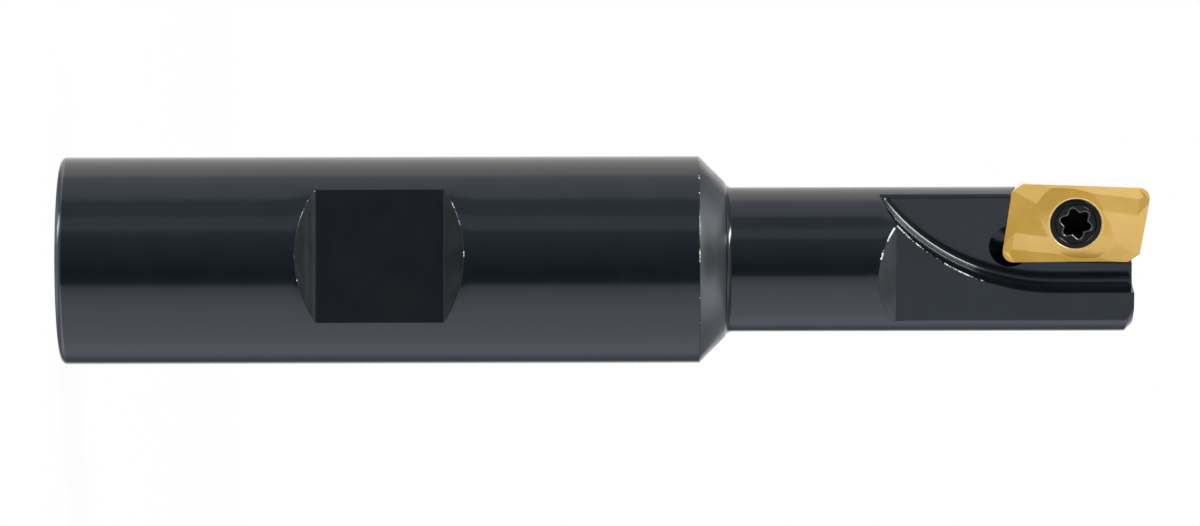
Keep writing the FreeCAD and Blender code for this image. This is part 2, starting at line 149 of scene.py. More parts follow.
def ray_kinds(tree):
    """Whether a ray comes from the camera, and whether it is a mirrored or refracted view."""
    rays = add(tree, "ShaderNodeLightPath")
    mirrored = math_node(tree, "MAXIMUM", rays["Is Glossy Ray"], rays["Is Transmission Ray"])
    return rays["Is Camera Ray"], mirrored

# %% [markdown]
# ## The studio
#
# A blackened cylinder has almost no colour of its own. What the eye reads as its shape is the room
# mirrored in it, in long bands. So the room matters more than the lamps: a white table below and
# behind the tool, a dark side where the photographer stands, and a dim wall above. One could stand
# cards around the tool. A world whose brightness follows the compass direction does the same
# without noise, and a color ramp around the horizon is easy to tune. A second ramp along the tool's
# axis serves the cone and the slanted faces. The camera itself sees white.

# %% The room around the tool
# Angle from the camera towards the picture's top, and the room's brightness and tint there.
ROOM = [
    (-180, (1.0, 1.0, 1.0)),
    (-166, (0.90, 0.92, 0.98)),
    (-155, (0.10, 0.11, 0.13)),
    (-140, (0.22, 0.24, 0.28)),
    (-127, (0.56, 0.62, 0.71)),
    (-112, (0.81, 0.88, 1.0)),
    (-80, (0.92, 1.0, 1.16)),
    (-56, (0.90, 0.98, 1.13)),
    (-40, (0.72, 0.80, 0.93)),
    (-29, (0.50, 0.58, 0.68)),
    (-26, (0.07, 0.11, 0.15)),
    (-14, (0.04, 0.08, 0.11)),
    (4, (0.11, 0.15, 0.21)),
    (31, (0.20, 0.26, 0.32)),
    (34, (0.40, 0.50, 0.59)),
    (48, (0.40, 0.50, 0.59)),
    (51, (0.26, 0.33, 0.40)),
    (70, (0.28, 0.35, 0.42)),
    (73, (0.54, 0.61, 0.73)),
    (107, (0.68, 0.68, 0.80)),
    (110, (0.98, 0.98, 1.03)),
    (130, (0.95, 0.93, 0.93)),
    (149, (0.92, 0.87, 0.85)),
    (168, (1.0, 0.98, 0.96)),
    (180, (1.0, 1.0, 1.0)),
]
# How steeply a direction points along the tool's axis, and the brightness and tint seen there.
CEILING = [
    (0.55, (0.28, 0.30, 0.33)),
    (0.74, (0.34, 0.36, 0.40)),
    (0.90, (0.80, 0.84, 0.90)),
    (0.96, (0.78, 0.82, 0.88)),
    (0.995, (0.22, 0.24, 0.27)),
]
# The steepness where the second ramp begins to take over, and where it has.
CEILING_START, CEILING_END = 0.30, 0.55
# The even light that falls on every face. Only mirrored views see the two ramps.
DAYLIGHT = 0.65

world = bpy.data.worlds.new("studio")
bpy.context.scene.world = world
world.use_nodes = True
tree = world.node_tree
tree.nodes.clear()
direction = add(tree, "ShaderNodeTexCoord")["Generated"]
camera_bearing = math.atan2(toward_camera.y, toward_camera.x)
from_camera = mapped(tree, direction, turn=(0, 0, -camera_bearing))
around = add(tree, "ShaderNodeTexGradient", {"Vector": from_camera}, gradient_type="RADIAL")["Fac"]
horizon = ramped(tree, around, [(0.5 - angle / 360, tint) for angle, tint in reversed(ROOM)])
height = math_node(tree, "ABSOLUTE", add(tree, "ShaderNodeSeparateXYZ", {"Vector": direction})["Z"])
room_colour = mixed(tree, ranged(tree, height, CEILING_START, CEILING_END), horizon,
                    ramped(tree, height, CEILING))
camera_ray, mirrored = ray_kinds(tree)
room = add(tree, "ShaderNodeBackground", {"Color": room_colour})[0]
brightness = math_node(tree, "MAXIMUM", camera_ray, DAYLIGHT)
plain = add(tree, "ShaderNodeBackground", {"Color": WHITE, "Strength": brightness})[0]
add(tree, "ShaderNodeOutputWorld", {"Surface": mixed_shader(tree, mirrored, plain, room)})
print("room with", len(ROOM), "stops around the horizon and", len(CEILING), "along the axis")

# %% [markdown]
# ## The lamp and the table
#
# The bright line along the gullet's foot and the glint at the cone's foot both mirror one lamp, up
# and to the right of the camera. A weaker lamp stands on the shank's side. The tool stands on a
# white disc, which keeps a faint shadow and is clear when it is seen from below.

# %% Lamp and table
LAMP_UP_ANGLE = math.radians(49)
LAMP_ALONG_ANGLE = math.radians(47)
LAMP_DISTANCE = 0.7
LAMP_WIDTH, LAMP_LENGTH = 0.16, 0.40
LAMP_POWER = 3.2
FAR_LAMP_SHARE = 0.3
TABLE_RADIUS, TABLE_SEGMENTS = 0.25, 96
TABLE_GLOW = 0.95
TABLE_COLOUR = (0.97, 0.97, 0.97, 1)

sideways = toward_camera * math.cos(LAMP_UP_ANGLE) + picture_up * math.sin(LAMP_UP_ANGLE)
for name, along, share in (("key_lamp", 1, 1), ("far_lamp", -1, FAR_LAMP_SHARE)):
    to_lamp = sideways * math.cos(LAMP_ALONG_ANGLE) + tool_axis * math.sin(LAMP_ALONG_ANGLE) * along
    lamp = bpy.data.objects.new(name, bpy.data.lights.new(name, "AREA"))
    lamp.data.shape = "RECTANGLE"
    lamp.data.size = LAMP_WIDTH
    lamp.data.size_y = LAMP_LENGTH
    lamp.data.energy = LAMP_POWER * share
    lamp.visible_camera = False
    lamp.location = tool_axis * VIEW_CENTRE_ALONG + to_lamp * LAMP_DISTANCE
    lamp.rotation_euler = to_lamp.to_track_quat("Z", "Y").to_euler()
    bpy.context.scene.collection.objects.link(lamp)


def new_material(name):
    """An empty node material and its tree."""
    material = bpy.data.materials.new(name)
    material.use_nodes = True
    material.node_tree.nodes.clear()
    return material, material.node_tree


table_finish, tree = new_material("white_table")
matte = add(tree, "ShaderNodeBsdfDiffuse", {"Color": TABLE_COLOUR})[0]
glow = add(tree, "ShaderNodeEmission", {"Strength": 1})[0]
seen = math_node(tree, "MAXIMUM", *ray_kinds(tree))
white = mixed_shader(tree, times(tree, seen, TABLE_GLOW), matte, glow)
from_below = add(tree, "ShaderNodeNewGeometry")["Backfacing"]
clear = add(tree, "ShaderNodeBsdfTransparent")[0]
add(tree, "ShaderNodeOutputMaterial", {"Surface": mixed_shader(tree, from_below, white, clear)})

shape = bmesh.new()
bmesh.ops.create_circle(shape, cap_ends=True, segments=TABLE_SEGMENTS, radius=TABLE_RADIUS)
table_mesh = bpy.data.meshes.new("table")
shape.to_mesh(table_mesh)
shape.free()
table_mesh.materials.append(table_finish)
table = bpy.data.objects.new("table", table_mesh)
bpy.context.scene.collection.objects.link(table)
table.visible_glossy = False
print("far lamp", round(lamp.location.length, 3), "m from the shank's end")

# %% [markdown]
# ## Finishes
#
# Nine black finishes cover the body, two gold ones the insert and three oiled ones the screw. They
# share three effects, so each is a node group: fine lines left by a grinding wheel or a lathe, a
# soft cloudiness in the colour, and worn spots along the edges where the black has rubbed off. The
# finishes paint those spots near-white, partly as bare steel and partly as a painted highlight.

# %% Shared effects
# How much the lines wave, and the shares and coarseness of their two noises.
WANDER_SHARE = 0.05
FINE_SHARE, BROAD_SHARE, BROAD_SCALE = 0.6, 0.4, 0.2
# Worn spots show where the sum of two noises passes a limit, which falls as the wear grows. The
# spots also carry the edges' painted highlight.
SPOT_SHARE, STRETCH_SCALE = 0.8, 0.15
NO_WEAR_LIMIT, WEAR_RANGE, SPOT_SOFTNESS = 1.12, 0.5, 0.08
# The values of a noise between which a tone or a colour changes.
NOISE_LOW, NOISE_HIGH = 0.3, 0.7
CLOUDS_LOW, CLOUDS_HIGH = 0.35, 0.68
FLOAT, VECTOR, COLOUR = "NodeSocketFloat", "NodeSocketVector", "NodeSocketColor"


def new_group(name, inputs, outputs):
    """A shader node group; gives its tree and the sockets at its two ends."""
    group = bpy.data.node_groups.new(name, "ShaderNodeTree")
    for side, sockets in (("INPUT", inputs), ("OUTPUT", outputs)):
        for label, kind in sockets.items():
            group.interface.new_socket(label, in_out=side, socket_type=kind)
    start, end = group.nodes.new("NodeGroupInput"), group.nodes.new("NodeGroupOutput")
    return group, start.outputs, end.inputs


def noise(tree, vector, scale, detail=3.0, roughness=0.5):
    """A Noise Texture's value."""
    inputs = {"Vector": vector, "Scale": scale, "Detail": detail, "Roughness": roughness}
    return add(tree, "ShaderNodeTexNoise", inputs)["Fac"]


tree, given, result = new_group(
    "tool_lines", {"Vector": VECTOR, "Lines per metre": FLOAT, "Wander": FLOAT},
    {"Height": FLOAT, "Tone": FLOAT})
per_metre = given["Lines per metre"]
waves = times(tree, per_metre, times(tree, given["Wander"], WANDER_SHARE))
spread = add(tree, "ShaderNodeCombineXYZ", {"X": waves, "Y": waves, "Z": per_metre})[0]
spaced = add(tree, "ShaderNodeVectorMath", {0: given["Vector"], 1: spread}, operation="MULTIPLY")[0]
fine = noise(tree, spaced, 1.0, detail=2)
broad = noise(tree, mapped(tree, spaced, scale=[BROAD_SCALE] * 3), 1.0, detail=1)
line_height = math_node(tree, "ADD", times(tree, fine, FINE_SHARE), times(tree, broad, BROAD_SHARE))
tree.links.new(line_height, result["Height"])
tree.links.new(ranged(tree, broad, NOISE_LOW, NOISE_HIGH), result["Tone"])
lines_group = tree

tree, given, result = new_group(
    "cloudiness", {"Vector": VECTOR, "Clouds per metre": FLOAT, "First": COLOUR, "Second": COLOUR},
    {"Color": COLOUR})
clouds = noise(tree, given["Vector"], given["Clouds per metre"], detail=5, roughness=0.6)
cloud_mask = ranged(tree, clouds, CLOUDS_LOW, CLOUDS_HIGH)
tree.links.new(mixed(tree, cloud_mask, given["First"], given["Second"]), result["Color"])
cloud_group = tree

# The mask marks worn spots that the finishes paint near-white: bare steel and a painted highlight.
tree, given, result = new_group(
    "edge_wear_and_highlight", {"Vector": VECTOR, "Spots per metre": FLOAT, "Amount": FLOAT}, {"Mask": FLOAT})
spots = noise(tree, given["Vector"], given["Spots per metre"], detail=4, roughness=0.7)
stretch_scale = times(tree, given["Spots per metre"], STRETCH_SCALE)
stretches = noise(tree, given["Vector"], stretch_scale, detail=2)
limit = math_node(tree, "SUBTRACT", NO_WEAR_LIMIT, times(tree, given["Amount"], WEAR_RANGE))
both = math_node(tree, "ADD", times(tree, spots, SPOT_SHARE), times(tree, stretches, SPOT_SHARE))
worn = math_node(tree, "SUBTRACT", both, limit)
tree.links.new(ranged(tree, worn, 0.0, SPOT_SOFTNESS), result["Mask"])
wear_and_highlight_group = tree


def group_node(tree, group, vector, **values):
    """Places a node group on coordinates, with its other inputs given by name."""
    inputs = {label.replace("_", " ").capitalize(): given for label, given in values.items()}
    return add(tree, "ShaderNodeGroup", {"Vector": vector, **inputs}, node_tree=group)


def bumped(tree, height, distance):
    """A Bump node's normal from a height."""
    inputs = {"Strength": 1, "Distance": distance, "Height": height}
    return add(tree, "ShaderNodeBump", inputs)["Normal"]


def object_place(tree):
    """Coordinates on the object, in metres."""
    return add(tree, "ShaderNodeTexCoord")["Object"]


def grained(tree, scale, depth, least_rough, most_rough):
    """A fine grain, as the roughness and bumps of a shader."""
    grain = noise(tree, object_place(tree), scale)
    return {"Roughness": ranged(tree, grain, NOISE_LOW, NOISE_HIGH, least_rough, most_rough),
            "Normal": bumped(tree, grain, depth)}


def surface(tree, inputs):
    """Ends a material with a Principled BSDF."""
    shader = add(tree, "ShaderNodeBsdfPrincipled", inputs)[0]
    add(tree, "ShaderNodeOutputMaterial", {"Surface": shader})


print("shared effects:", [group.name for group in bpy.data.node_groups])

# %% [markdown]
# ## Blackened steel
#
# Black oxide is a thin, glossy, almost colourless skin: a very dark base with a mirror of about six
# hundredths over it. What differs from place to place is the surface under the skin. The shank and
# neck are ground, so they mirror in sharp bands. The cone is turned, so it scatters the light and
# looks lighter. The flats and the gullet are milled, and the cutter's side scratched the flats'
# slanted ends. Along some edges the black is chipped or rubbed down to the steel, and those spots
# are painted near-white, partly as bare steel and partly as a painted highlight on the edges.

# %% Blackened steel
OXIDE_IOR = 1.65
OXIDE_DARK = (0.0034, 0.0046, 0.0062, 1)
OXIDE_LIGHT = (0.0052, 0.0065, 0.0085, 1)
OXIDE_CLOUDS = 260
SMOOTHEST, ROUGHEST = 0.85, 1.2
# The worn spots' near-white colour is partly bare steel and partly a painted highlight on the
# edges.
BARE_STEEL_AND_HIGHLIGHT = (0.88, 0.87, 0.86, 1)
BARE_SPOTS, BARE_METALLIC, BARE_ROUGHNESS = 6500, 0.15, 0.45
# The middle of the gullet's arc, across and along the tool.
GULLET_CENTRE = (-0.0149, 0.0761)


def distance_from(tree, place, across, along):
    """A vector whose Z is the distance from a point of the XZ plane, for arc-shaped tool lines."""
    inputs = {0: place, 1: (1, 0, 1), 2: (-across, 0, -along)}
    flat = add(tree, "ShaderNodeVectorMath", inputs, operation="MULTIPLY_ADD")[0]
    length = add(tree, "ShaderNodeVectorMath", {0: flat}, operation="LENGTH")["Value"]
    return add(tree, "ShaderNodeCombineXYZ", {"Z": length})[0]


def blackened(name, lines, line_depth, wander, roughness, light=OXIDE_LIGHT, dark=OXIDE_DARK,
              ior=OXIDE_IOR, centre=None, wear=0.0):
    """Black oxide over steel whose tool lines run across Z, or in arcs around a centre. With wear,
    its worn spots are painted near-white, partly as bare steel and partly as a painted highlight.
    """
    material, tree = new_material(name)
    place = object_place(tree)
    along = distance_from(tree, place, *centre) if centre else place
    marks = group_node(tree, lines_group, along, lines_per_metre=lines, wander=wander)
    colour = group_node(tree, cloud_group, place, clouds_per_metre=OXIDE_CLOUDS,
                        first=dark, second=light)["Color"]
    rough = ranged(tree, marks["Tone"], 0, 1, roughness * SMOOTHEST, roughness * ROUGHEST)
    inputs = {"IOR": ior, "Normal": bumped(tree, marks["Height"], line_depth)}
    if wear:
        bare_and_highlight = group_node(tree, wear_and_highlight_group, place, spots_per_metre=BARE_SPOTS, amount=wear)["Mask"]
        colour = mixed(tree, bare_and_highlight, colour, BARE_STEEL_AND_HIGHLIGHT)
        rough = math_node(tree, "MAXIMUM", rough, times(tree, bare_and_highlight, BARE_ROUGHNESS))
        inputs["Metallic"] = times(tree, bare_and_highlight, BARE_METALLIC)
    surface(tree, {**inputs, "Base Color": colour, "Roughness": rough})
    return material


ground_black = blackened("ground_black_oxide", 14000, 6e-7, wander=0.04, roughness=0.13)
turned_black = blackened("turned_black_oxide", 5200, 6e-6, wander=0.02, roughness=0.22,
                         light=(0.022, 0.024, 0.027, 1), dark=(0.012, 0.014, 0.016, 1), ior=2.2)
milled_black = blackened("milled_black_oxide", 3000, 5e-7, wander=1.0, roughness=0.12)
gullet_black = blackened("gullet_black_oxide", 2600, 6e-8, wander=0.4, roughness=0.10,
                         centre=GULLET_CENTRE)
scratched_black = blackened("scratched_black_oxide", 9000, 5e-6, wander=0.3, roughness=0.34,
                            light=(0.036, 0.042, 0.050, 1), dark=(0.013, 0.015, 0.018, 1))
clamp_black = blackened("clamping_flat_black_oxide", 2400, 1.2e-6, wander=3.0, roughness=0.14,
                        light=(0.0060, 0.0048, 0.0046, 1), dark=(0.0024, 0.0028, 0.0032, 1))
clamp_end_black = blackened("clamping_flat_end_black_oxide", 9000, 5e-6, wander=0.3, roughness=0.34,
                            light=(0.021, 0.024, 0.028, 1), dark=(0.008, 0.009, 0.010, 1))
# The worn and rubbed edges paint their spots near-white: bare steel with a painted highlight.
worn_black = blackened("worn_black_edges", 9000, 1e-6, wander=1.0, roughness=0.25, wear=0.68)
rubbed_black = blackened("rubbed_black_edges", 9000, 1e-6, wander=1.0, roughness=0.2, wear=0.42)
print("black finishes:", [name for name in bpy.data.materials.keys() if "_black" in name])

# %% [markdown]
# ## Helpers for the shapes
#
# All shapes are drawn in millimetres, because Blender's bevel and Boolean tools work best on sizes
# near one, and are brought to metres at the very end. Each finished piece stays at the origin, with
# its place in its mesh.

# %% Shape helpers
MM = 0.001
QUARTER = math.radians(90)
# How far off a corner may lie and still count as on a plane.
TOLERANCE = 1e-4


def pull(shape, outline, run):
    """Closes an outline with a face and pulls it into a solid."""
    pulled = bmesh.ops.extrude_face_region(shape, geom=[shape.faces.new(outline)])["geom"]
    moved = [item for item in pulled if isinstance(item, bmesh.types.BMVert)]
    bmesh.ops.translate(shape, vec=run, verts=moved)
    bmesh.ops.recalc_face_normals(shape, faces=shape.faces)
    return shape


def prism(corners, run):
    """A closed solid: a face through the corners, pulled along a run."""
    shape = bmesh.new()
    return pull(shape, [shape.verts.new(corner) for corner in corners], run)


def round_edges(shape, edges, radius, segments, clamp=True):
    """Rounds edges of a shape and gives the new faces."""
    return bmesh.ops.bevel(shape, geom=edges, offset=radius, offset_type="OFFSET",
                           segments=segments, profile=0.5, affect="EDGES", material=-1,
                           clamp_overlap=clamp)["faces"]


def quarter_turn(steps):
    """The angles of a quarter turn, from 0 to 90 degrees."""
    return [QUARTER * step / steps for step in range(steps + 1)]


def to_object(name, shape, materials):
    """Makes a mesh object in the scene from a bmesh."""
    mesh = bpy.data.meshes.new(name)
    shape.to_mesh(mesh)
    shape.free()
    for material in materials:
        mesh.materials.append(material)
    item = bpy.data.objects.new(name, mesh)
    bpy.context.scene.collection.objects.link(item)
    return item


def discard(item):
    """Removes an object with its mesh."""
    mesh = item.data
    bpy.data.objects.remove(item)
    bpy.data.meshes.remove(mesh)


def apply_boolean(item, other_shape, materials, operation):
    """Changes an object by a Boolean with a shape, and leaves a plain mesh."""
    other = to_object("boolean_shape", other_shape, materials)
    modifier = item.modifiers.new("boolean", "BOOLEAN")
    modifier.operation = operation
    modifier.solver = "EXACT"
    modifier.material_mode = "TRANSFER"
    modifier.object = other
    evaluated = item.evaluated_get(bpy.context.evaluated_depsgraph_get())
    changed = bpy.data.meshes.new_from_object(evaluated)
    item.modifiers.clear()
    before, item.data = item.data, changed
    bpy.data.meshes.remove(before)
    discard(other)


def common_part(first, second):
    """The part that two shapes share."""
    item = to_object("shared_shape", first, [])
    apply_boolean(item, second, [], "INTERSECT")
    shape = bmesh.new()
    shape.from_mesh(item.data)
    discard(item)
    return shape


def carve(blank, cutters):
    """Cuts shapes out of an object, one after the other, and leaves a plain mesh."""
    for shape, *materials in cutters:
        apply_boolean(blank, shape, materials, "DIFFERENCE")


def report_piece(piece, unit=MM):
    """Prints a piece's size and face count. The unit is 1 while it is drawn in millimetres."""
    columns = zip(*(vertex.co for vertex in piece.data.vertices))
    sizes = [round((max(column) - min(column)) / unit, 2) for column in columns]
    print(piece.name, "is", sizes, "mm with", len(piece.data.polygons), "faces")


# %% [markdown]
# ## The turned blank
#
# On the lathe, the shank, cone, neck and head are one turned profile. Here it is the same: a line
# of points is spun once around the axis in fine steps, so that the mirrored bands stay smooth.

# %% Turned blank
SHANK_RADIUS = 7.9375
SHANK_ROUND = 0.5
CONE_START = 48.9
NECK_RADIUS = 5.54
FOOT_RADIUS = 0.62
FOOT_TURN = math.radians(70)
FOOT_RISE = FOOT_RADIUS * (1 - math.cos(FOOT_TURN))
CONE_END = CONE_START + SHANK_RADIUS - NECK_RADIUS - FOOT_RISE
FOOT_END = CONE_END + FOOT_RADIUS * math.sin(FOOT_TURN)
BODY_LENGTH = 82.1
HEAD_CHAMFER = 0.6
TURN_STEPS = 360
RING_SPACING = 2.0
END_STEPS, FOOT_STEPS = 8, 10
# A face that leans along the axis by more than this was turned; the rest was ground.
TURNED_LEAN = 0.02

profile = [
    (0, 0),
    *[(SHANK_RADIUS - SHANK_ROUND * (1 - math.sin(angle)), SHANK_ROUND * (1 - math.cos(angle)))
      for angle in quarter_turn(END_STEPS)],
    (SHANK_RADIUS, CONE_START),
    (NECK_RADIUS + FOOT_RISE, CONE_END),
    *[(NECK_RADIUS + FOOT_RADIUS * (1 - math.cos(angle)),
       FOOT_END - FOOT_RADIUS * math.sin(angle))
      for angle in (FOOT_TURN * (1 - step / FOOT_STEPS) for step in range(1, FOOT_STEPS))],
    (NECK_RADIUS, FOOT_END),
    (NECK_RADIUS, BODY_LENGTH - HEAD_CHAMFER),
    (NECK_RADIUS - HEAD_CHAMFER, BODY_LENGTH),
    (0, BODY_LENGTH),
]
blank = bmesh.new()
points = [blank.verts.new((across, 0, up)) for across, up in profile]
line = [blank.edges.new(pair) for pair in zip(points, points[1:])]
long_edges = [edge for edge in line if edge.calc_length() > 2 * RING_SPACING
              and min(vertex.co.x for vertex in edge.verts) > 0]
for edge in long_edges:
    bmesh.ops.subdivide_edges(blank, edges=[edge], cuts=int(edge.calc_length() / RING_SPACING))
bmesh.ops.spin(blank, geom=list(blank.verts) + list(blank.edges), cent=(0, 0, 0), axis=(0, 0, 1),
               dvec=(0, 0, 0), angle=math.tau, steps=TURN_STEPS, use_merge=True,
               use_duplicate=False)
bmesh.ops.remove_doubles(blank, verts=blank.verts, dist=TOLERANCE)
bmesh.ops.recalc_face_normals(blank, faces=blank.faces)
for face in blank.faces:
    in_foot = CONE_END < face.calc_center_median().z < FOOT_END
    face.material_index = 1 if abs(face.normal.z) > TURNED_LEAN and not in_foot else 0
body = to_object("body", blank, [ground_black, turned_black])
report_piece(body, unit=1)

# %% [markdown]
# ## The milled cuts
#
# A mill took the rest away: the clamping flat on the shank, the flat in front of the gullet, the
# gullet with its arc-shaped run-out, and the insert's pocket. Each tool path becomes one cutting
# solid, and its faces bring the milled finish along. The round at the gullet's foot is a bevel on
# the cutting solid, just as it is the corner radius of the real cutter.

# %% Milled cuts
MARGIN = 1.5
FLAT_TURN = math.radians(-19.3)
FLAT_HEIGHT = 6.1175
FLAT_START, FLAT_END = 19.73, 29.48
FLAT_SLOPE = math.radians(50)
FLAT_ROUND, FLAT_ROUND_STEPS = 0.25, 5
FLAT_REACH = 3.3
FRONT_TURN = math.radians(-1.0)
FRONT_HEIGHT = 4.07
FRONT_START = 63.9
FRONT_SLOPE = math.radians(47)
FRONT_REACH = 3.0
# A slanted end leans along the axis between these limits, and is larger than this, in mm2.
END_LEAN, END_AREA = (0.5, 0.9), 5
GULLET_HEIGHT = 1.2
GULLET_OFFSET = 1.5
GULLET_RADIUS = 16.4
GULLET_ARC_START = 76.1
GULLET_ROUND, GULLET_ROUND_STEPS = 0.8, 10
ARC_STEPS = 72
GULLET_CHAMFER = 0.18
CHAMFER_SLANT = 1.6
BEFORE_GULLET = 60

open_side = -(NECK_RADIUS + MARGIN)
far_end = BODY_LENGTH + MARGIN


def flat_cutter(height, start, end, slope, far_end_slope, reach):
    """A prism that mills a flat with one slanted end or two."""
    outside = height + reach
    run = reach / math.tan(slope)
    far_run = run if far_end_slope else 0
    corners = [(height, start), (height, end), (outside, end + far_run), (outside, start - run)]
    half = SHANK_RADIUS + MARGIN
    return prism([(-half, -away, up) for away, up in corners], (2 * half, 0, 0))


def scratch_and_turn(shape, turn):
    """Marks a flat cutter's slanted ends for their own finish and turns it about the axis."""
    for face in shape.faces:
        face.normal_update()
        slanted = END_LEAN[0] < abs(face.normal.z) < END_LEAN[1] and face.calc_area() > END_AREA
        face.material_index = 1 if slanted else 0
    bmesh.ops.rotate(shape, cent=(0, 0, 0), matrix=Matrix.Rotation(turn, 3, "Z"), verts=shape.verts)


clamp_cut = flat_cutter(FLAT_HEIGHT, FLAT_START, FLAT_END, FLAT_SLOPE, True, FLAT_REACH)
feet = [edge for edge in clamp_cut.edges
        if all(abs(vertex.co.y + FLAT_HEIGHT) < TOLERANCE for vertex in edge.verts)
        and abs(edge.verts[0].co.z - edge.verts[1].co.z) < TOLERANCE]
round_edges(clamp_cut, feet, FLAT_ROUND * math.tan(FLAT_SLOPE / 2), FLAT_ROUND_STEPS)
scratch_and_turn(clamp_cut, FLAT_TURN)
front_cut = flat_cutter(FRONT_HEIGHT, FRONT_START, far_end, FRONT_SLOPE, False, FRONT_REACH)
scratch_and_turn(front_cut, FRONT_TURN)
print("flats at", FLAT_HEIGHT, "and", FRONT_HEIGHT, "mm from the axis")

# %% [markdown]
# ## The gullet
#
# The gullet is a flat floor with a straight wall that ends in an arc. A narrow chamfer breaks its
# open edge, and ends where the gullet's plan ends, so the two shapes are intersected.

# %% Gullet
def gullet_prism(bottom, top):
    """The gullet's plan, with its straight wall and its arc, between two levels along Y."""
    shape = bmesh.new()
    centre = Vector((GULLET_OFFSET - GULLET_RADIUS, bottom, GULLET_ARC_START))
    start = shape.verts.new((GULLET_OFFSET, bottom, GULLET_ARC_START))
    sweep = math.acos((open_side - centre.x) / GULLET_RADIUS)
    bmesh.ops.spin(shape, geom=[start], cent=centre, axis=(0, 1, 0), dvec=(0, 0, 0), angle=sweep,
                   steps=ARC_STEPS, use_merge=False, use_duplicate=False)
    along_arc = sorted(shape.verts, key=lambda vertex: -vertex.co.z)
    corners = [shape.verts.new((across, bottom, far_end)) for across in (open_side, GULLET_OFFSET)]
    return pull(shape, along_arc + corners, (0, top - bottom, 0))


gullet_cut = gullet_prism(-GULLET_HEIGHT, open_side)
wall_foot = [edge for edge in gullet_cut.edges
             if all(abs(vertex.co.y + GULLET_HEIGHT) < TOLERANCE for vertex in edge.verts)
             and max(vertex.co.x for vertex in edge.verts) > open_side + 10 * TOLERANCE
             and min(vertex.co.z for vertex in edge.verts) < far_end - 10 * TOLERANCE]
round_edges(gullet_cut, wall_foot, GULLET_ROUND, GULLET_ROUND_STEPS)

open_x = -math.sqrt(NECK_RADIUS ** 2 - GULLET_HEIGHT ** 2)
chamfer_corners = [(-1, -1), (1, -1), (1, 0), (-1, CHAMFER_SLANT)]
chamfer_cut = prism([(open_x + GULLET_CHAMFER * across, -GULLET_HEIGHT + GULLET_CHAMFER * inward,
                      BEFORE_GULLET) for across, inward in chamfer_corners],
                    (0, 0, far_end - BEFORE_GULLET))
chamfer_cut = common_part(chamfer_cut, gullet_prism(-GULLET_HEIGHT + 2 * GULLET_CHAMFER, open_side))

carve(body, [(clamp_cut, clamp_black, clamp_end_black), (front_cut, milled_black, scratched_black),
             (gullet_cut, gullet_black), (chamfer_cut, milled_black)])
report_piece(body, unit=1)

# %% [markdown]
# ## The insert's pocket
#
# The pocket follows the insert: a parallelogram with leaning walls on two sides, a round relief in
# the corner so that the insert's nose touches nothing, and the tapped hole.

# %% Insert pocket
HOLE_ALONG = 77.74
HOLE_OFFSET = 3.13
INSERT_LEAN = math.radians(1.75)
SEAT_DEPTH = 1.9
INSERT_LENGTH = 10.65
INSERT_WIDTH = 6.22
INSERT_THICKNESS = 3.5
INSERT_SLOPE = math.radians(5)
FLANK = math.tan(math.radians(11))
CLEARANCE = 0.02
CORNER_ALONG = (INSERT_LENGTH / 2 / math.cos(INSERT_SLOPE)
                + INSERT_WIDTH / 2 * math.tan(INSERT_SLOPE))
RELIEF_RADIUS = 1.6
RELIEF_DEPTH = 0.3
RELIEF_INWARD, RELIEF_BACK = 1.18, 0.67
TAPPED_RADIUS = 1.27
TAPPED_BOTTOM, TAPPED_TOP = -12, 1
ROUND_SEGMENTS = 72

# From the insert's own frame, whose Z is the screw's axis, to the tool's frame.
on_seat = (Matrix.Translation((-HOLE_OFFSET, SEAT_DEPTH, HOLE_ALONG))
           @ Matrix.Rotation(QUARTER, 4, "X") @ Matrix.Rotation(-INSERT_LEAN, 4, "Z"))


def pocket_corners(height):
    """The pocket's outline at a height over the seat."""
    inward = (INSERT_THICKNESS - height) * FLANK
    wall = INSERT_WIDTH / 2 + CLEARANCE - inward
    back = (INSERT_LENGTH / 2 + CLEARANCE - inward) / math.cos(INSERT_SLOPE)
    rise = math.tan(INSERT_SLOPE)
    return [(wall, -(back + wall * rise), height), (wall, INSERT_LENGTH, height),
            (-INSERT_WIDTH, INSERT_LENGTH, height),
            (-INSERT_WIDTH, -(back - INSERT_WIDTH * rise), height)]


pocket_cut = bmesh.new()
rings = [[pocket_cut.verts.new(corner) for corner in pocket_corners(height)]
         for height in (0, INSERT_THICKNESS + MARGIN)]
sides = [pocket_cut.edges.new((ring[k], ring[(k + 1) % 4])) for ring in rings for k in range(4)]
bmesh.ops.bridge_loops(pocket_cut, edges=sides)
for ring in rings:
    bmesh.ops.contextual_create(pocket_cut, geom=ring)
bmesh.ops.recalc_face_normals(pocket_cut, faces=pocket_cut.faces)
pocket_cut.transform(on_seat)


def round_cut(radius, across, along, bottom, top):
    """A round cutting solid in the insert's frame."""
    shape = bmesh.new()
    bmesh.ops.create_cone(shape, cap_ends=True, segments=ROUND_SEGMENTS, radius1=radius,
                          radius2=radius, depth=top - bottom)
    bmesh.ops.translate(shape, vec=(across, along, (bottom + top) / 2), verts=shape.verts)
    shape.transform(on_seat)
    return shape


relief_cut = round_cut(RELIEF_RADIUS, INSERT_WIDTH / 2 - RELIEF_INWARD, RELIEF_BACK - CORNER_ALONG,
                       -RELIEF_DEPTH, INSERT_THICKNESS + MARGIN)
tapped_cut = round_cut(TAPPED_RADIUS, 0, 0, TAPPED_BOTTOM, TAPPED_TOP)
carve(body, [(pocket_cut, milled_black), (relief_cut, milled_black), (tapped_cut, milled_black)])
report_piece(body, unit=1)

# %% [markdown]
# ## Edges
#
# No real edge is a knife edge, so every sharp edge gets a tiny round. The black oxide goes there
# first: it is chipped off before the gullet, and rubbed through at the slanted ends and the head.
# The chipped and rubbed spots are painted near-white, partly as bare steel and partly as a painted
# highlight on the edges.

# %% Broken edges
EDGE_ROUND, BROKEN_STEPS = 0.05, 2
EDGE_ANGLE = math.radians(28)
